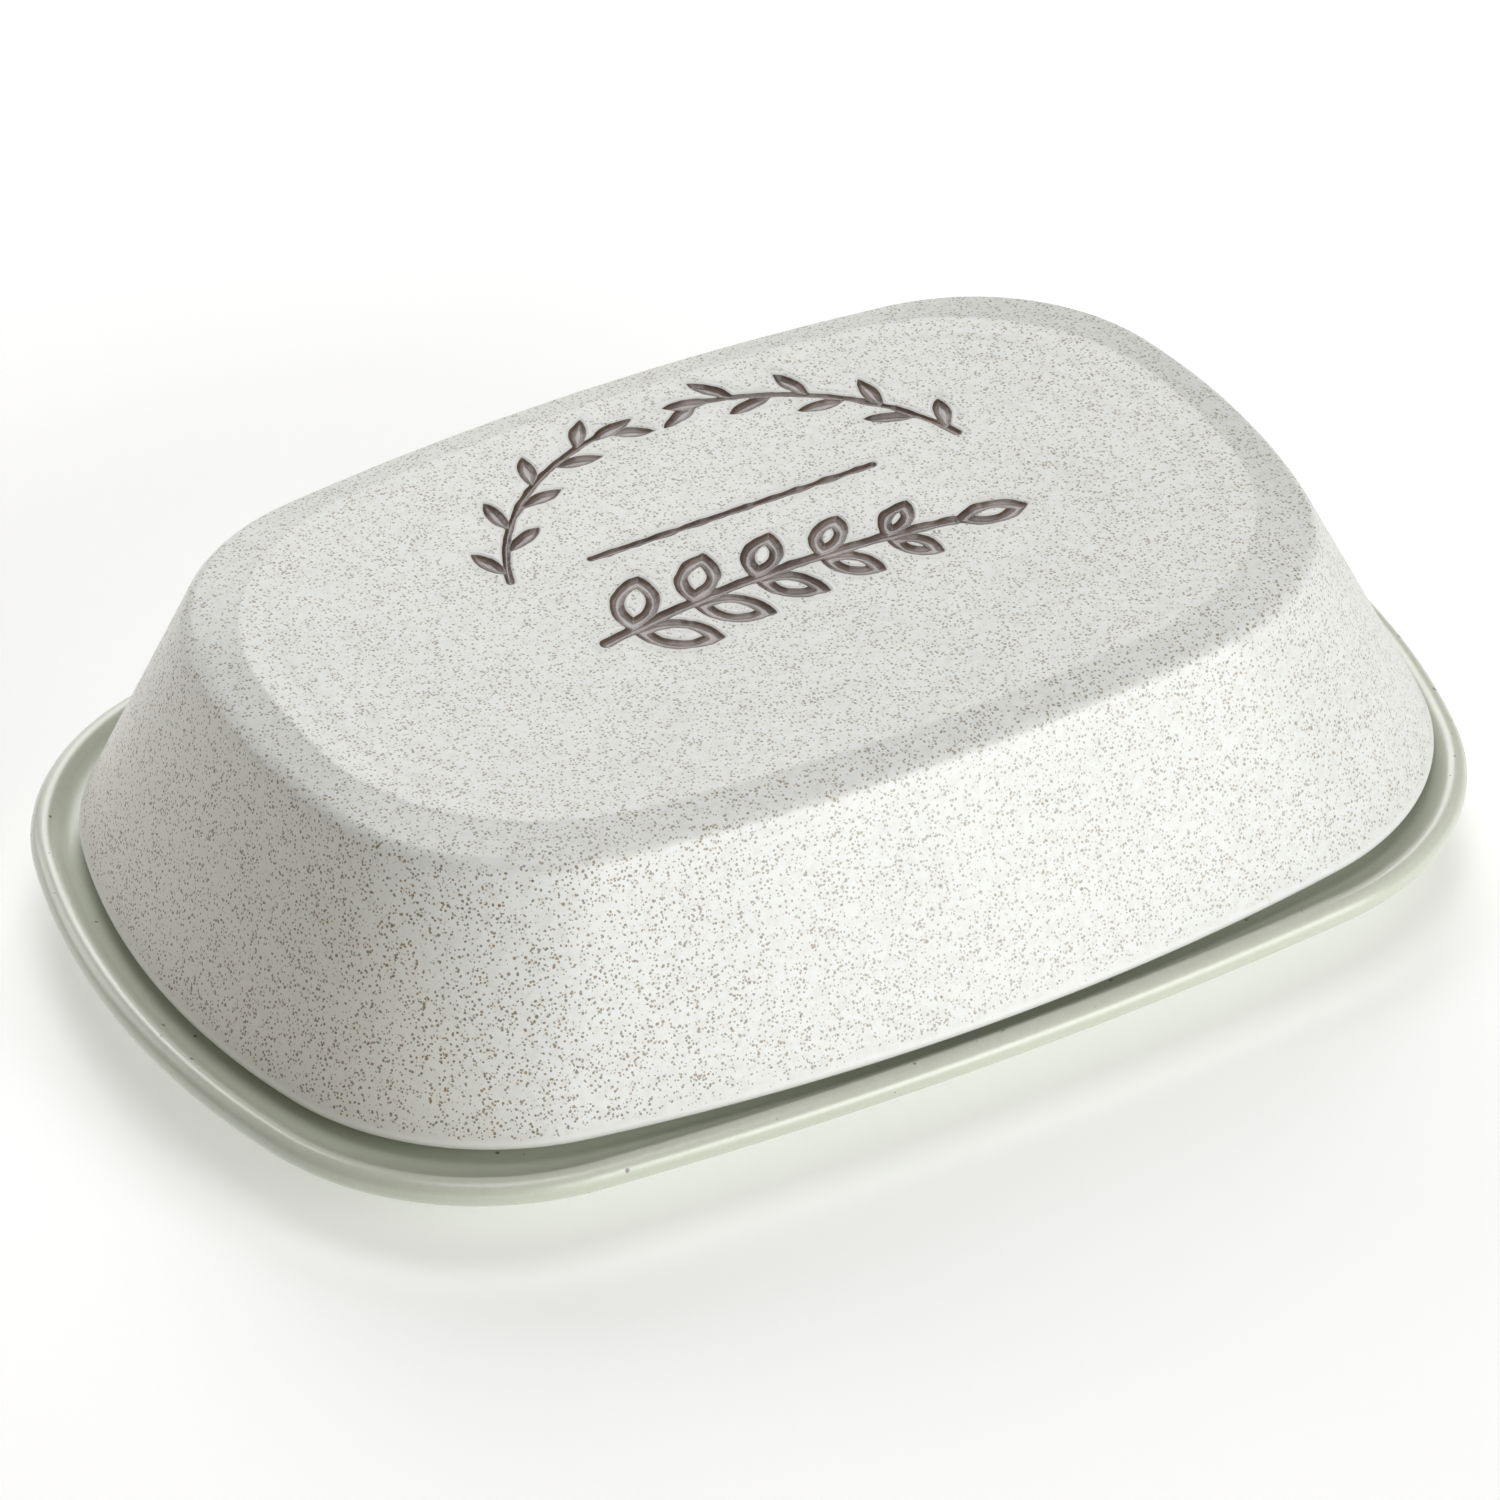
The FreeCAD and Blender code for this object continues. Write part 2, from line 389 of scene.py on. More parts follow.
def make_tray():
    """The tray as one closed skin, from the middle of its underside, out, up, and in again."""
    lip = rounding(inset(tray_plan, lip_radius), tray_height - lip_radius, lip_radius,
                   lip_under_angle, lip_slope_angle, 24)
    bend = ledge_bend_rings()
    well_plan = inset(cover_plan, well_inset + well_edge_inset)
    well_edge = rounding(inset(well_plan, -well_edge_radius), ledge_height - well_edge_radius,
                         well_edge_radius, 90, 160, 7)
    floor = rounding(inset(well_plan, well_wall_run), well_floor + well_floor_radius,
                     -well_floor_radius, 154, 90, 8)
    rings = foot_rings()
    rings += slope(rings[-1], lip[0], 12) + lip
    rings += slope(lip[-1], bend[0], 5) + bend
    rings += slope(bend[-1], well_edge[0], 4) + well_edge
    rings += slope(well_edge[-1], floor[0], 4) + floor
    rings += disc(floor[-1], growing=False)
    faces = cap_faces(0, upwards=False) + ring_faces(len(rings))
    faces += cap_faces((len(rings) - 1) * ring_count, upwards=True)
    return make_object("glazed_tray", np.concatenate(rings), faces, tray_centre)


# ---------------------------------------------------------------- strokes of the ornament
# Each stroke is a signed distance: under zero inside the stroke, over zero outside it.


def polar(radius, angle):
    return np.array([radius * math.cos(math.radians(angle)), radius * math.sin(math.radians(angle))])


def bar_distance(points, first, last, width):
    """A straight stroke with round ends."""
    along = last - first
    share = np.clip((points - first) @ along / (along @ along), 0, 1)
    return np.linalg.norm(points - first - share[:, None] * along, axis=1) - width / 2


def band_distance(points, centre, radius, first, last, width):
    """A stroke along an arc, with round ends."""
    away = points - centre
    middle = math.radians((first + last) / 2)
    turned = np.arctan2(away[:, 1], away[:, 0]) - middle
    turned = (turned + math.pi) % (2 * math.pi) - math.pi
    half = math.radians(last - first) / 2
    nearest = middle + np.clip(turned, -half, half)
    spine = np.stack([np.cos(nearest), np.sin(nearest)], axis=1) * radius
    return np.linalg.norm(away - spine, axis=1) - width / 2


def leaf_distance(points, base, angle, length, width):
    """A pointed leaf between two arcs, from its base along an angle."""
    radius = (length ** 2 + width ** 2) / (4 * width)
    middle = base + polar(length / 2, angle)
    side = polar(radius - width / 2, angle + 90)
    left = np.linalg.norm(points - middle - side, axis=1)
    right = np.linalg.norm(points - middle + side, axis=1)
    return np.maximum(left, right) - radius


def leaf_line_distance(points, base, angle, length, width, line):
    """A leaf drawn as a line round an open middle. The line is longer through the leaf's points."""
    point = 1.6 * line
    outer = leaf_distance(points, base, angle, length, width)
    inner = leaf_distance(points, base + polar(point, angle), angle, length - 2 * point, width - 2 * line)
    return np.maximum(outer, -inner)


def join(distances):
    """Strokes joined into one, with a small fillet where they meet."""
    joined = distances[0]
    for other in distances[1:]:
        share = np.clip(0.5 + 0.5 * (other - joined) / stroke_fillet, 0, 1)
        joined = other + (joined - other) * share - stroke_fillet * share * (1 - share)
    return joined


def waves(points, wavelength, seed):
    """A smooth random surface between about -1 and 1, from sine waves in seeded directions."""
    random = np.random.default_rng(seed)
    total = np.zeros(len(points))
    for _ in range(6):
        direction = random.uniform(0, 2 * math.pi)
        length = wavelength * random.uniform(0.7, 1.6)
        phase = random.uniform(0, 2 * math.pi)
        along = points @ np.array([math.cos(direction), math.sin(direction)])
        total += np.sin(along * 2 * math.pi / length + phase)
    return total / 3


def garland_distance(points):
    """Two leafy twigs that rise on an arch from both sides and nearly meet at the top."""
    centre = np.array([ornament_x, garland_y])
    length, width = garland_leaf
    step = (garland_end - garland_start) / garland_leaves
    tip = garland_end - step
    leaves = [(tip - 0.8, 92)]
    for number in range(garland_leaves):
        outwards = number % 2 == 0
        tilt = garland_tilt if outwards else 180 - garland_tilt
        leaves.append((garland_start + step * (number + 0.35), tilt))
    spans = [(garland_start, tip), (180 - tip, 180 - garland_start)]
    strokes = [band_distance(points, centre, garland_radius, first, last, garland_line)
               for first, last in spans]
    for at, tilt in leaves:
        base = centre + polar(garland_radius, at)
        strokes.append(leaf_distance(points, base, at + tilt, length, width))
        base = centre + polar(garland_radius, 180 - at)
        strokes.append(leaf_distance(points, base, 180 - at - tilt, length, width))
    return join(strokes)


def rule_distance(points):
    """A straight line under the garland."""
    middle = np.array([rule_x, rule_y])
    half = np.array([rule_length / 2, 0])
    return bar_distance(points, middle - half, middle + half, rule_line)


def sprig_distance(points):
    """A lying sprig: a curved stem with pairs of leaves that get smaller, and a leaf at its tip."""
    centre = np.array([ornament_x, sprig_top - sprig_radius])
    strokes = [band_distance(points, centre, sprig_radius, sprig_end, sprig_start, sprig_line)]
    leaves = []
    for number in range(sprig_pairs):
        share = number / sprig_pairs
        at = sprig_start + (sprig_end - sprig_start) * (sprig_first + (1 - sprig_first) * share)
        size = 1 - (1 - sprig_taper) * share
        leaves += [(at, side * sprig_spread, size, size) for side in (1, -1)]
    leaves.append((sprig_end, 0, *sprig_tip_leaf))
    for at, spread, length, width in leaves:
        base = centre + polar(sprig_radius, at)
        strokes.append(leaf_line_distance(points, base, at - 90 + spread, sprig_leaf[0] * length,
                                          sprig_leaf[1] * width, sprig_line))
    return join(strokes)


ornament = {
    "garland_glaze": garland_distance,
    "rule_glaze": rule_distance,
    "sprig_glaze": sprig_distance,
}


def uneven(distance_of, points):
    """A stroke's distance with the unevenness of a line that was pressed by hand."""
    broad = line_wobble * waves(points, line_wobble_length, seed=3)
    fine = fine_wobble * waves(points, fine_wobble_length, seed=4)
    return distance_of(points) + broad + fine


def ornament_distance(points):
    """The distance from the nearest groove of all."""
    return np.minimum.reduce([uneven(distance_of, points) for distance_of in ornament.values()])


# ---------------------------------------------------------------- heights of the cover's top


def crown_height(depth):
    """Height of the top without its ornament, from how far it lies inside the panel's plan."""
    rise = panel_height - panel_edge_height
    steepness = math.tan(math.radians(90 - crown_normal))
    power = steepness * crown_run / rise
    share = np.clip(depth / crown_run, 0, 1)
    return panel_edge_height + rise * (1 - (1 - share) ** power)


def top_height(points):
    """The bare top, with the rings and faint waves that hand finishing leaves in it."""
    depth = depth_inside(panel_plan, points)
    grows = smooth_between(depth, ripple_grows)
    away = smooth_between(np.abs(points[:, 0] - calm_centre), calm_edge)
    amount = grows * (calm_share + (1 - calm_share) * away)
    fades = 1 - smooth_between(depth, ripple_fades)
    ripples = ripple_height * fades * (np.sin(depth * 2 * math.pi / ripple_width) - 1)
    broad = wave_height * (waves(points, wave_length, seed=8) - 1)
    return crown_height(depth) + amount * (ripples + broad)


def groove_height(distance):
    """Height of the white clay in and beside a groove, against the bare top."""
    swell = swell_height * np.exp(-((distance - swell_width) / swell_width) ** 2)
    brink = groove_brink * np.exp(-np.maximum(distance, 0) / groove_brink_width)
    floor = (groove_depth - groove_brink) * smooth_step(-distance / groove_wall)
    return np.where(distance > 0, swell, swell_height / math.e) - brink - floor


def glaze_height(distance):
    """Height of the brown glaze: a hollow channel that climbs to the groove's edge."""
    hollow = glaze_hollow * smooth_step(-distance / glaze_hollow_width) ** 0.7
    return swell_height / math.e - glaze_brink - hollow


# ---------------------------------------------------------------- points and triangles of the top


def lattice(step):
    """A triangular lattice over the ornament, as points and as the steps they are numbered by."""
    half_x, half_y = ornament_reach
    columns = np.arange(int(2 * half_x / step))
    rows = np.arange(int(2 * half_y / (step * row_ratio)))
    column, row = (grid.ravel() for grid in np.meshgrid(columns, rows))
    x = ornament_x - half_x + (column + 0.5 * (row % 2)) * step
    y = -half_y + row * step * row_ratio
    return np.stack([x, y], axis=1), column, row


def on_stride(column, row, stride):
    """Whether points of the lattice also lie on the lattice whose step is this many times longer."""
    if stride == 1:
        return np.ones(len(column), bool)
    even_rows = (column % stride == 0) & (row % (2 * stride) == 0)
    odd_rows = (column % stride == stride // 2) & (row % (2 * stride) == stride)
    return even_rows | odd_rows


def snapped(points, distance_of, distances):
    """Points within half a step of a groove's edge moved onto it, so that the edge is a clean line."""
    near = np.abs(distances) < mesh_step / 2
    chosen = points[near]
    nudge = 0.01
    gradient = np.stack([distance_of(chosen + [nudge, 0]) - distance_of(chosen - [nudge, 0]),
                         distance_of(chosen + [0, nudge]) - distance_of(chosen - [0, nudge])], axis=1)
    gradient /= np.maximum(np.linalg.norm(gradient, axis=1, keepdims=True), 1e-9)
    moved = points.copy()
    moved[near] -= gradient * distances[near][:, None]
    return moved


def thinned(points, apart):
    """The points without those that share a small square with another."""
    cells = np.floor(points / apart).astype(np.int64)
    kept = np.unique(cells, axis=0, return_index=True)[1]
    return points[np.sort(kept)]


def snapped_and_thinned(points, distance_of, distances):
    return thinned(snapped(points, distance_of, distances), mesh_step * 0.5)


def triangles(points):
    """Delaunay triangles over the points, wound anticlockwise."""
    result = delaunay_2d_cdt([Vector(point) for point in points], [], [], 0, 1e-7)
    sources = [originals[0] for originals in result[3]]
    faces = np.array([[sources[corner] for corner in face] for face in result[2]])
    first, second, third = (points[faces[:, corner]] for corner in range(3))
    area = np.cross(second - first, third - first)
    faces[area < 0] = faces[area < 0][:, ::-1]
    return faces[np.abs(area) > 1e-9]


def fine_points():
    """Points of the top in and near the grooves, denser towards the grooves' edges."""
    grid, column, row = lattice(mesh_step)
    distances = ornament_distance(grid)
    chosen = np.zeros(len(grid), bool)
    for stride, low, high in lattice_spans:
        chosen |= on_stride(column, row, stride) & (distances > low) & (distances < high)
    points = snapped_and_thinned(grid[chosen], ornament_distance, distances[chosen])
    return points[depth_inside(panel_plan, points) > top_edge + mesh_step]


def coarse_points():
    """Points of the top away from the grooves."""
    columns = np.arange(-panel_plan.half_length, panel_plan.half_length, coarse_step)
    rows = np.arange(-panel_plan.half_width, panel_plan.half_width, coarse_step * row_ratio)
    points = np.array([[x + 0.5 * coarse_step * (number % 2), y]
                       for number, y in enumerate(rows) for x in columns])
    points = points[depth_inside(panel_plan, points) > top_edge + 0.6 * coarse_step]
    return points[ornament_distance(points) > coarse_from]


# ---------------------------------------------------------------- cover and brown glaze


def rippled_wall(foot, head, steps):
    """Rings between two rings, with the faint steps that a mould leaves, mostly at the left end."""
    outwards = np.column_stack([np.cos(normals), np.sin(normals), np.zeros(ring_count)])
    rings = []
    for share in np.linspace(0, 1, steps + 1)[1:-1]:
        level = foot + (head - foot) * share
        phase = level[:, 2] * 2 * math.pi / wall_ripple_pitch + 0.6 * np.sin(3 * normals)
        leftwards = smooth_between(-level[:, 0], wall_ripple_grows)
        amount = wall_ripple_share + (1 - wall_ripple_share) * leftwards
        fade = smooth_step(min(share, 1 - share) / wall_ripple_ease)
        drop = wall_ripple * (1 - np.sin(phase)) * amount * fade
        rings.append(level - outwards * drop[:, None])
    return rings


def rim_rings():
    """The rim that the cover stands on, from the foot of the inner wall to the start of the bevel."""
    inner_edge = inset(cover_plan, rim_bevel + rim_width)
    half_round = 0.3 * rim_round
    return [
        ring(inner_edge, rim_height + rim_round),
        ring(inset(inner_edge, -half_round), rim_height + half_round),
        ring(inset(inner_edge, -rim_round), rim_height),
        ring(inset(cover_plan, rim_bevel + bevel_ease), rim_height),
        ring(inset(cover_plan, rim_bevel - bevel_first_run), rim_height + bevel_first_rise),
    ]


def edge_rings():
    """The rounding above the bevel. The wall above it, carried on, meets the plan at the edge's height."""
    lean = math.radians(wall_lean)
    centre = edge_height - edge_drop
    tangent = centre + edge_radius * math.sin(lean)
    edge_inset = (tangent - edge_height) * math.tan(lean) + edge_radius * math.cos(lean)
    return rounding(inset(cover_plan, edge_inset), centre, edge_radius, edge_under_angle, wall_lean, 8)


def cover_rings():
    """The cover's skin but for its top: ceiling, inner wall, rim, outer wall and facet."""
    vault = eased(inset(crest_plan, ceiling_inset), ceiling_height, inner_radius, 90, wall_lean, 12)
    rim = rim_rings()
    edge = edge_rings()
    crest = eased(crest_plan, crest_height, crest_radius, wall_lean, facet_normal, 10)
    panel_edge = eased(panel_plan, panel_edge_height, panel_edge_radius, facet_normal, crown_normal, 6)
    rings = disc(vault[0], growing=True) + vault
    rings += slope(vault[-1], rim[0], 12) + rim
    rings += slope(rim[-1], edge[0], 4) + edge
    rings += rippled_wall(edge[-1], crest[0], 58) + crest
    rings += slope(crest[-1], panel_edge[0], 8) + panel_edge
    rings.append(ring(inset(panel_plan, top_edge), crown_height(top_edge)))
    return rings


def make_cover():
    """The cover as one closed skin, whose top is triangles with the ornament's grooves in them."""
    rings = cover_rings()
    skin = np.concatenate(rings)
    first = len(skin) - ring_count
    flat = np.concatenate([rings[-1][:, :2], coarse_points(), fine_points()])
    distance = ornament_distance(flat)
    top = np.column_stack([flat, top_height(flat) + groove_height(distance)])
    points = np.concatenate([skin, top[ring_count:]])
    faces = cap_faces(0, upwards=False) + ring_faces(len(rings))
    faces += (triangles(flat) + first).tolist()
    piece = make_object("glazed_cover", points, faces, cover_centre)
    clear = np.zeros(len(points))
    clear[first:] = np.clip(1 - distance / clear_width, 0, 1)
    store(piece, "clear", clear)
    return piece


def make_glaze(name, distance_of):
    """Brown glaze in one group of grooves, as a closed body between the groove and its own surface."""
    def uneven_distance(points):
        return uneven(distance_of, points)

    grid = lattice(mesh_step)[0]
    distances = uneven_distance(grid)
    inside = distances < mesh_step / 2
    flat = snapped_and_thinned(grid[inside], uneven_distance, distances[inside])
    faces = triangles(flat)
    middles = flat[faces].mean(axis=1)
    faces = faces[uneven_distance(middles) < -0.01]
    used, faces = np.unique(faces, return_inverse=True)
    faces = faces.reshape(-1, 3)
    flat = flat[used]
    distance = np.minimum(uneven_distance(flat), 0)
    bare = top_height(flat)
    top = np.column_stack([flat, bare + glaze_height(distance)])
    bottom = np.column_stack([flat, bare + groove_height(distance) - glaze_overlap])
    count = len(flat)
    edges = np.concatenate([faces[:, [0, 1]], faces[:, [1, 2]], faces[:, [2, 0]]])
    keys = {tuple(edge) for edge in edges.tolist()}
    walls = [(b, a, a + count, b + count) for a, b in keys if (b, a) not in keys]
    shell = faces.tolist() + (faces[:, ::-1] + count).tolist() + walls
    piece = make_object(name, np.concatenate([top, bottom]), shell, cover_centre)
    piece.data.set_sharp_from_angle(angle=math.radians(70))
    store(piece, "from_edge", np.concatenate([-distance, -distance]))
    return piece


# ---------------------------------------------------------------- material helpers


def new_material(name):
    """An empty node material with a Principled shader, as its tree and that shader."""
    material = bpy.data.materials.new(name)
    material.use_nodes = True
    tree = material.node_tree
    return material, tree, tree.nodes["Principled BSDF"]


def node(tree, kind, inputs=None, **settings):
    """A new node. Its inputs are numbers, colours or sockets to link."""
    made = tree.nodes.new(kind)
    for key, value in settings.items():
        setattr(made, key, value)
    for key, value in (inputs or {}).items():
        if isinstance(value, bpy.types.NodeSocket):
            tree.links.new(value, made.inputs[key])
        else:
            made.inputs[key].default_value = value
    return made


def math_node(tree, operation, first, second, clamp=False):
    made = node(tree, "ShaderNodeMath", {0: first, 1: second}, operation=operation, use_clamp=clamp)
    return made.outputs[0]


def product(tree, first, second):
    return math_node(tree, "MULTIPLY", first, second)


def ramp_between(tree, value, low, high):
    """0 where the value is at low, 1 where it is at high, and a smooth change between."""
    made = node(tree, "ShaderNodeMapRange", {"Value": value, "From Min": low, "From Max": high},
                interpolation_type="SMOOTHSTEP", clamp=True)
    return made.outputs["Result"]


def spread(tree, value, low, high):
    """A value of 0 to 1 turned into one of low to high."""
    made = node(tree, "ShaderNodeMapRange", {"Value": value, "To Min": low, "To Max": high})
    return made.outputs["Result"]


def mix_colour(tree, factor, first, second):
    made = node(tree, "ShaderNodeMix", {"Factor": factor, 6: first, 7: second}, data_type="RGBA")
    return made.outputs[2]


def noise(tree, coordinate, size, detail=2.0, roughness=0.5):
    """Noise whose features are about this many millimetres across."""
    made = node(tree, "ShaderNodeTexNoise", {"Vector": coordinate, "Scale": 1 / (size * MM),
                                             "Detail": detail, "Roughness": roughness})
    return made.outputs["Fac"]


def shifted(tree, coordinate, offset):
    return node(tree, "ShaderNodeVectorMath", {0: coordinate, 1: offset}, operation="ADD").outputs[0]


def jittered(tree, coordinate, size, amount):
    """The coordinate with a small random shift, which makes round specks uneven."""
    wander = node(tree, "ShaderNodeTexNoise",
                  {"Vector": coordinate, "Scale": 1 / (size * MM), "Detail": 1.0})
    centred = node(tree, "ShaderNodeVectorMath", {0: wander.outputs["Color"], 1: (0.5, 0.5, 0.5)},
                   operation="SUBTRACT").outputs[0]
    scaled = node(tree, "ShaderNodeVectorMath", {0: centred, "Scale": amount * MM},
                  operation="SCALE").outputs[0]
    return shifted(tree, coordinate, scaled)


def specks(tree, coordinate, spacing, smallest, largest, share, softness):
    """Scattered specks. Gives how much of a speck is here, and a random number for each speck.
    Sizes are radii in millimetres; share and softness may be numbers or sockets."""
    cells = node(tree, "ShaderNodeTexVoronoi", {"Vector": coordinate, "Scale": 1 / (spacing * MM)})
    random = node(tree, "ShaderNodeSeparateColor", {"Color": cells.outputs["Color"]})
    here = math_node(tree, "LESS_THAN", random.outputs["Red"], share)
    radius = spread(tree, random.outputs["Green"], smallest / spacing, largest / spacing)
    reach = math_node(tree, "SUBTRACT", radius, cells.outputs["Distance"])
    edge = math_node(tree, "DIVIDE", reach, softness, clamp=True)
    return product(tree, edge, here), random.outputs["Blue"]


def object_coordinate(tree):
    return node(tree, "ShaderNodeTexCoord").outputs["Object"]


def height_of(tree, coordinate):
    """Height above the surface that the crock stands on, in millimetres."""
    split = node(tree, "ShaderNodeSeparateXYZ", {"Vector": coordinate})
    return math_node(tree, "DIVIDE", split.outputs["Z"], MM)


def bump(tree, height, distance, strength, under=None):
    """A bump from a height of 0 to 1 that stands for a distance in millimetres."""
    inputs = {"Height": height, "Distance": distance * MM, "Strength": strength}
    if under is not None:
        inputs["Normal"] = under
    return node(tree, "ShaderNodeBump", inputs).outputs["Normal"]


def with_bare_clay(tree, coordinate, colour, bare):
    """The colour with grainy unglazed clay over it where bare is 1."""
    grain = noise(tree, coordinate, 0.7, 3.0)
    clay = mix_colour(tree, grain, (0.50, 0.42, 0.32, 1), (0.66, 0.58, 0.47, 1))
    return mix_colour(tree, bare, colour, clay)


def roughness_but_clay(tree, glaze_roughness, bare):
    """The glaze's roughness, and that of dry clay where bare is 1."""
    return math_node(tree, "MAXIMUM", glaze_roughness, product(tree, bare, 0.75))


# ---------------------------------------------------------------- materials


def cover_material():
    """Off-white glaze over clay full of iron: dense olive and brown specks, veiled on the top, with
    painted warm shade on the left end and a painted highlight along the edge above the rim.
    """
    material, tree, shader = new_material("speckled_white_glaze")
    coordinate = object_coordinate(tree)
    height = height_of(tree, coordinate)
    along = node(tree, "ShaderNodeSeparateXYZ", {"Vector": coordinate}).outputs["X"]
    surface = node(tree, "ShaderNodeNewGeometry").outputs["Normal"]
    upwards = node(tree, "ShaderNodeSeparateXYZ", {"Vector": surface}).outputs["Z"]
    veil = ramp_between(tree, upwards, 0.45, 0.98)
    on_wall = math_node(tree, "SUBTRACT", 1.0, veil)

    drift = noise(tree, shifted(tree, coordinate, (0.3, 0.1, 0.2)), 24.0)
    white = mix_colour(tree, drift, (0.74, 0.76, 0.74, 1), (0.82, 0.83, 0.80, 1))
    cloud = ramp_between(tree, noise(tree, coordinate, 1.4), 0.35, 0.75)
    colour = mix_colour(tree, product(tree, cloud, 0.35), white, (0.62, 0.61, 0.54, 1))
    # Painted warm shade: the left end of the wall, which lies in shade, is tinted brownish.
    painted_warm_shade = product(tree, ramp_between(tree, along, -0.058, -0.090), on_wall)
    colour = mix_colour(tree, product(tree, painted_warm_shade, 0.75), colour, (0.71, 0.685, 0.59, 1))

    # Fewer specks beside the grooves, at the edge above the rim, and between their clusters.
    clear = node(tree, "ShaderNodeAttribute", attribute_name="clear").outputs["Fac"]
    open_glaze = math_node(tree, "SUBTRACT", 1.0, clear, clamp=True)
    above_edge = ramp_between(tree, height, edge_height + 0.2, edge_height + 2.0)
    cluster = ramp_between(tree, noise(tree, coordinate, 2.6, 3.0, 0.6), 0.34, 0.66)
    clustered = math_node(tree, "ADD", 0.42, product(tree, cluster, 0.58))
    density = product(tree, product(tree, open_glaze, above_edge), clustered)

    # The specks are paler under the veil, and towards the right of the wall, where the glaze is thicker
    # and a painted sheen also pales them.
    thick_glaze_and_sheen = ramp_between(tree, along, -0.070, 0.000)
    glaze_and_sheen_on_wall = product(tree, thick_glaze_and_sheen, on_wall)
    veil_and_sheen = math_node(tree, "ADD", product(tree, glaze_and_sheen_on_wall, 0.30), product(tree, veil, 0.16))
    strength = math_node(tree, "SUBTRACT", 0.88, veil_and_sheen)

    # Spacing, smallest and largest radius, and share of each layer of specks.
    layers = [(0.52, 0.13, 0.25, 1.0), (0.76, 0.15, 0.29, 0.85), (2.4, 0.22, 0.40, 0.3)]
    uneven_coordinate = jittered(tree, coordinate, 0.5, 0.35)
    marks = None
    for number, (spacing, smallest, largest, share) in enumerate(layers):
        place = shifted(tree, uneven_coordinate, (0.11 * number, 0.07 * number, 0.05 * number))
        likely = product(tree, density, share)
        mark, random = specks(tree, place, spacing, smallest, largest, likely, 0.12)
        tone = mix_colour(tree, random, (0.27, 0.185, 0.08, 1), (0.16, 0.145, 0.095, 1))
        colour = mix_colour(tree, product(tree, mark, strength), colour, tone)
        marks = mark if marks is None else math_node(tree, "MAXIMUM", marks, mark)

    # Painted highlight: a pale line along the rounded edge above the rim.
    painted_edge_highlight = ramp_between(tree, height, edge_height + 1.1, edge_height + 0.2)
    colour = mix_colour(tree, product(tree, painted_edge_highlight, 0.6), colour, (0.86, 0.87, 0.84, 1))
    bare = ramp_between(tree, height, rim_height + 0.28, rim_height + 0.12)
    colour = with_bare_clay(tree, coordinate, colour, bare)
    tree.links.new(colour, shader.inputs["Base Color"])

    gloss = spread(tree, noise(tree, coordinate, 9.0), 0.32, 0.44)
    tree.links.new(roughness_but_clay(tree, gloss, bare), shader.inputs["Roughness"])
    shader.inputs["Coat Weight"].default_value = 0.12
    shader.inputs["Coat Roughness"].default_value = 0.24

    peel = bump(tree, noise(tree, coordinate, 5.0), 0.10, 0.6)
    pits = bump(tree, math_node(tree, "SUBTRACT", 1.0, marks), 0.03, 0.5, under=peel)
    tree.links.new(pits, shader.inputs["Normal"])
    return material


def tray_material():
    """Sage green gloss glaze: thinner on the lip, darker from the ledge's height down, with sparse iron
    specks.
    """
    material, tree, shader = new_material("sage_green_glaze")
    coordinate = object_coordinate(tree)
    height = height_of(tree, coordinate)
    drift = noise(tree, coordinate, 30.0, 3.0)
    colour = mix_colour(tree, drift, (0.55, 0.585, 0.475, 1), (0.63, 0.665, 0.555, 1))
    breakup = math_node(tree, "ADD", 0.35, product(tree, noise(tree, coordinate, 3.0), 0.5))
    thin = product(tree, ramp_between(tree, height, tray_height - 1.2, tray_height), breakup)
    colour = mix_colour(tree, thin, colour, (0.66, 0.68, 0.59, 1))
    # Darker from just above the ledge down: the ledge under the cover's edge, the well, the underside and
    # the lower outer wall.
    darker_below_ledge = ramp_between(tree, height, ledge_height + 0.5, ledge_height - 0.1)
    colour = mix_colour(tree, product(tree, darker_below_ledge, 0.15), colour, (0.40, 0.44, 0.34, 1))
    mottle = ramp_between(tree, noise(tree, coordinate, 0.9), 0.3, 0.8)
    colour = mix_colour(tree, product(tree, mottle, 0.16), colour, (0.46, 0.47, 0.37, 1))

    # Spacing, smallest and largest radius, and share of each layer of specks.
    layers = [(3.4, 0.12, 0.42, 0.8), (2.0, 0.07, 0.16, 0.5)]
    uneven_coordinate = jittered(tree, coordinate, 0.8, 0.4)
    for number, (spacing, smallest, largest, share) in enumerate(layers):
        place = shifted(tree, uneven_coordinate, (0.2 + 0.1 * number, 0.4, 0.1))
        mark, random = specks(tree, place, spacing, smallest, largest, share, 0.035)
        tone = mix_colour(tree, random, (0.07, 0.05, 0.035, 1), (0.16, 0.14, 0.10, 1))
        colour = mix_colour(tree, product(tree, mark, 0.85), colour, tone)

    bare = ramp_between(tree, height, 0.55, 0.35)
    colour = with_bare_clay(tree, coordinate, colour, bare)
    tree.links.new(colour, shader.inputs["Base Color"])

    gloss = spread(tree, noise(tree, coordinate, 7.0), 0.26, 0.40)
    tree.links.new(roughness_but_clay(tree, gloss, bare), shader.inputs["Roughness"])
    shader.inputs["Coat Weight"].default_value = 0.8
    shader.inputs["Coat Roughness"].default_value = 0.28
    tree.links.new(bump(tree, noise(tree, coordinate, 4.5, 1.0), 0.06, 0.5), shader.inputs["Normal"])
    return material


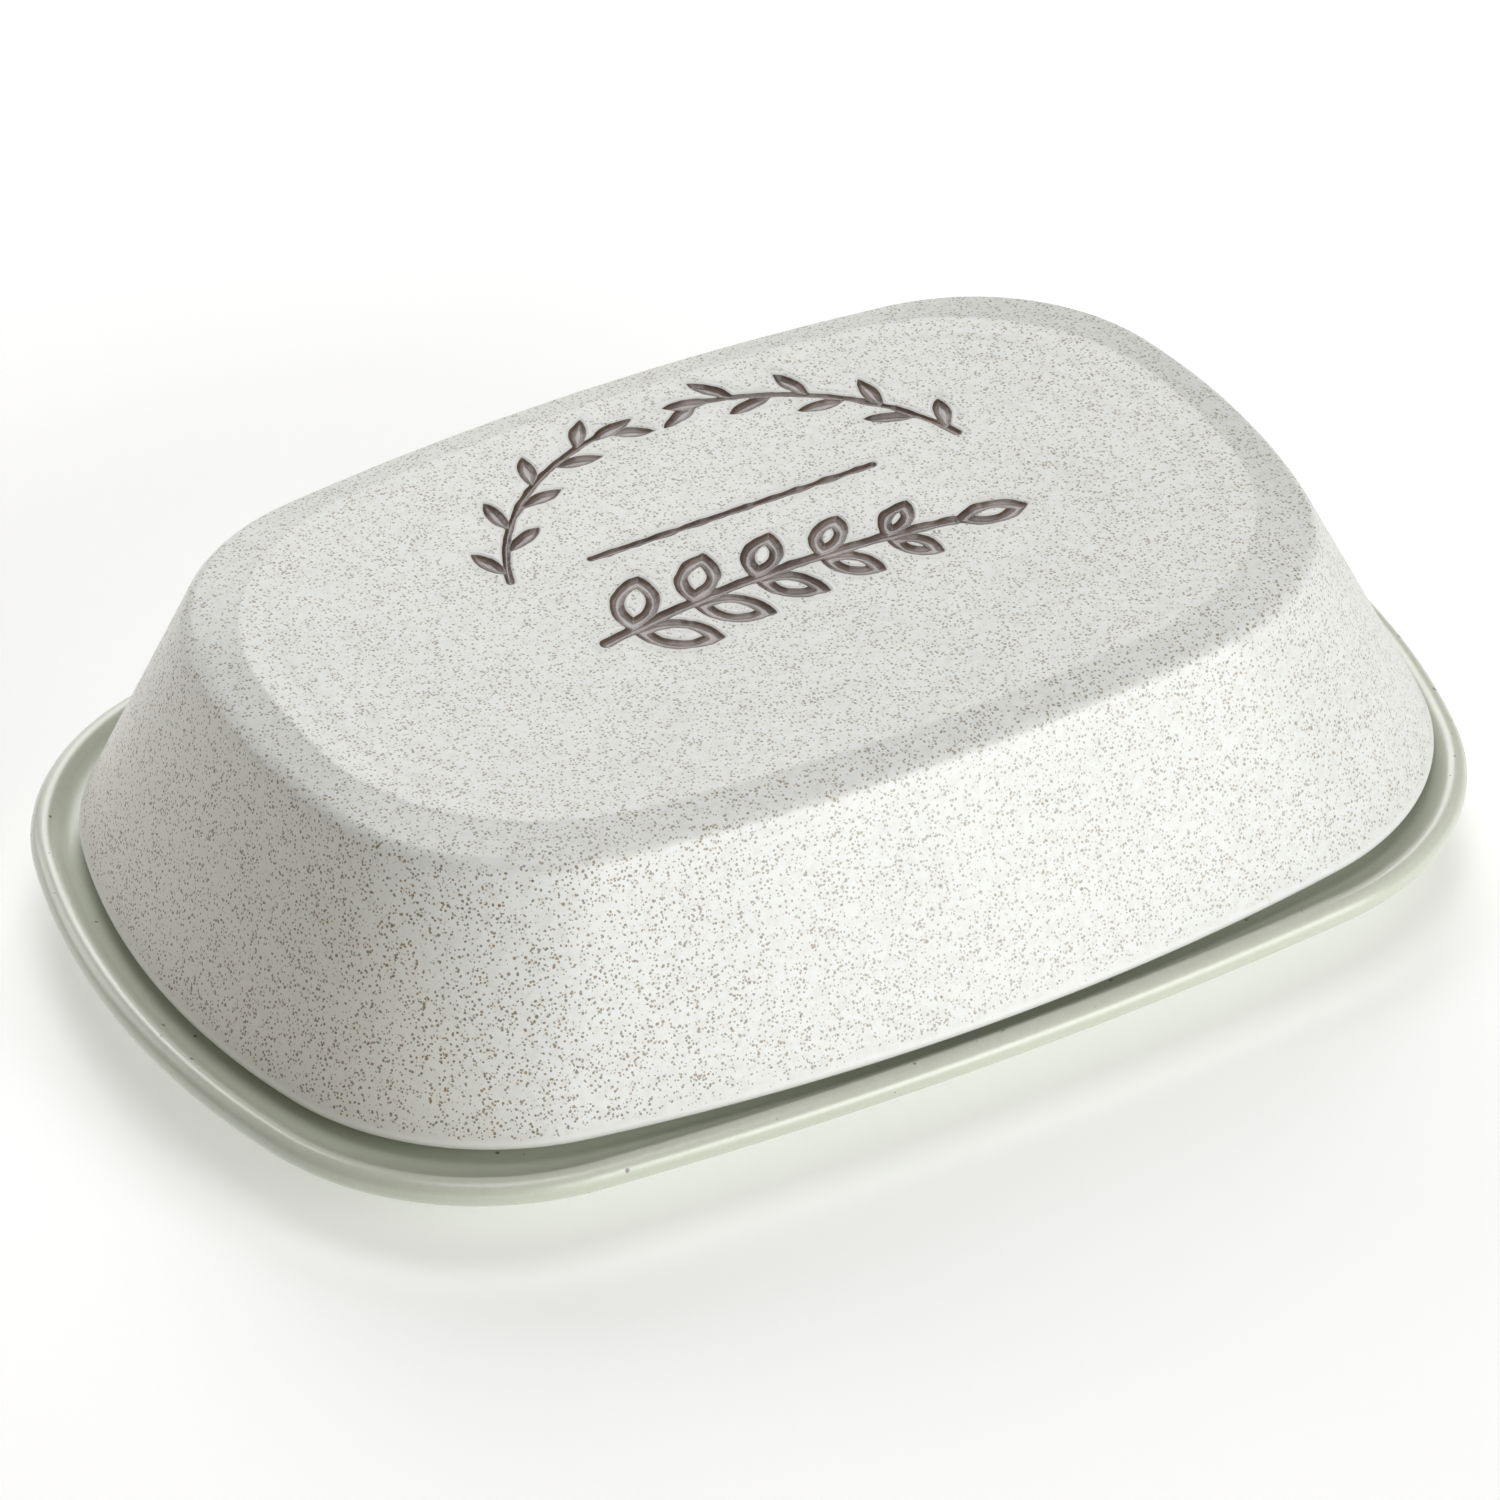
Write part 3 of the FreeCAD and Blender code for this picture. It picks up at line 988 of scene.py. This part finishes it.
def ornament_material():
    """Brown glaze: dark where it is thin at the edge of a groove, milky taupe where it pools; the palest
    taupe is partly a painted highlight.
    """
    material, tree, shader = new_material("brown_line_glaze")
    coordinate = object_coordinate(tree)
    from_edge = node(tree, "ShaderNodeAttribute", attribute_name="from_edge").outputs["Fac"]
    wander = math_node(tree, "SUBTRACT", noise(tree, coordinate, 2.2), 0.5)
    deep = math_node(tree, "ADD", from_edge, product(tree, wander, 0.5))
    pool = ramp_between(tree, deep, 0.16, 0.62)
    patches = noise(tree, shifted(tree, coordinate, (0.4, 0.2, 0.3)), 6.0)
    patches = ramp_between(tree, patches, 0.36, 0.62)
    colour = mix_colour(tree, patches, (0.085, 0.055, 0.045, 1), (0.13, 0.085, 0.06, 1))
    colour = mix_colour(tree, pool, colour, (0.17, 0.135, 0.12, 1))
    # The palest taupe in the pooled middle is partly the glaze's milky colour and partly a painted
    # highlight.
    milky_and_highlight = product(tree, ramp_between(tree, pool, 0.45, 1.0), patches)
    colour = mix_colour(tree, product(tree, milky_and_highlight, 0.55), colour, (0.38, 0.335, 0.315, 1))
    tree.links.new(colour, shader.inputs["Base Color"])

    gloss = spread(tree, noise(tree, coordinate, 1.5), 0.20, 0.36)
    tree.links.new(gloss, shader.inputs["Roughness"])
    shader.inputs["Coat Weight"].default_value = 0.2
    shader.inputs["Coat Roughness"].default_value = 0.12
    tree.links.new(bump(tree, noise(tree, coordinate, 1.1), 0.10, 0.6), shader.inputs["Normal"])
    return material


def floor_material():
    """A pale floor that glows a little, as a lit backdrop does."""
    material, tree, shader = new_material("pale_floor")
    shade = noise(tree, object_coordinate(tree), 60.0)
    colour = mix_colour(tree, shade, (0.90, 0.90, 0.90, 1), (0.92, 0.92, 0.92, 1))
    tree.links.new(colour, shader.inputs["Base Color"])
    shader.inputs["Roughness"].default_value = 0.7
    shader.inputs["Emission Color"].default_value = (1.0, 1.0, 1.0, 1)
    shader.inputs["Emission Strength"].default_value = 0.28
    return material


# ---------------------------------------------------------------- camera, floor and light


def direction_to(azimuth, elevation):
    """A unit vector from the crock. Azimuth 0 is in front and 90 is on the right."""
    turn, rise = math.radians(azimuth), math.radians(elevation)
    return Vector((math.sin(turn) * math.cos(rise), -math.cos(turn) * math.cos(rise), math.sin(rise)))


def look_from(back, roll=0.0):
    """A rotation for a camera or a light that looks against this vector, rolled by an angle."""
    right = Vector((0, 0, 1)).cross(back).normalized()
    up = back.cross(right)
    turned = right * math.cos(roll) + up * math.sin(roll)
    above = up * math.cos(roll) - right * math.sin(roll)
    return Matrix((turned, above, back)).transposed()


def make_camera():
    """Seen from the left of the front, well above, with a long lens and a slight roll."""
    turn = look_from(direction_to(camera_azimuth, camera_elevation), math.radians(camera_roll))
    place = turn @ Vector((*camera_aim, camera_distance)) * MM
    data = bpy.data.cameras.new("camera")
    data.sensor_width = 36.0
    data.lens = camera_lens
    camera = bpy.data.objects.new("camera", data)
    camera.matrix_world = Matrix.Translation(place) @ turn.to_4x4()
    bpy.context.scene.collection.objects.link(camera)
    bpy.context.scene.camera = camera


def make_floor():
    half = 4.0
    corners = [(-half, -half, 0), (half, -half, 0), (half, half, 0), (-half, half, 0)]
    mesh = bpy.data.meshes.new("floor")
    mesh.from_pydata(corners, [], [(0, 1, 2, 3)])
    floor = bpy.data.objects.new("floor", mesh)
    floor.data.materials.append(floor_material())
    bpy.context.scene.collection.objects.link(floor)


def softbox(name, azimuth, elevation, power, distance, size):
    """A soft square light aimed at the crock."""
    back = direction_to(azimuth, elevation)
    data = bpy.data.lights.new(name, "AREA")
    data.size = size
    data.energy = power
    light = bpy.data.objects.new(name, data)
    light.matrix_world = Matrix.Translation(back * distance) @ look_from(back).to_4x4()
    light.visible_camera = False
    bpy.context.scene.collection.objects.link(light)


def make_light():
    for name, placing in lights.items():
        softbox(name, *placing, light_distance, light_size)
    softbox("back_left_light", *near_light, near_light_distance, near_light_size)
    world = bpy.data.worlds.new("studio")
    world.use_nodes = True
    background = world.node_tree.nodes["Background"]
    background.inputs["Color"].default_value = (1.0, 0.90, 0.76, 1)
    background.inputs["Strength"].default_value = 0.06
    bpy.context.scene.world = world
    bpy.context.scene.view_settings.view_transform = "Standard"


# ---------------------------------------------------------------- the whole scene

tray = make_tray()
tray.data.materials.append(tray_material())
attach(tray, "tray")
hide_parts("tray")

cover = make_cover()
cover.data.materials.append(cover_material())
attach(cover, "cover")
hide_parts("cover")

brown_glaze = ornament_material()
for cad_node, distance_of in ornament.items():
    lines = make_glaze(cad_node.replace("_glaze", "_lines"), distance_of)
    lines.data.materials.append(brown_glaze)
    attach(lines, "cover")
    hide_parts(cad_node)

make_floor()
make_light()
make_camera()
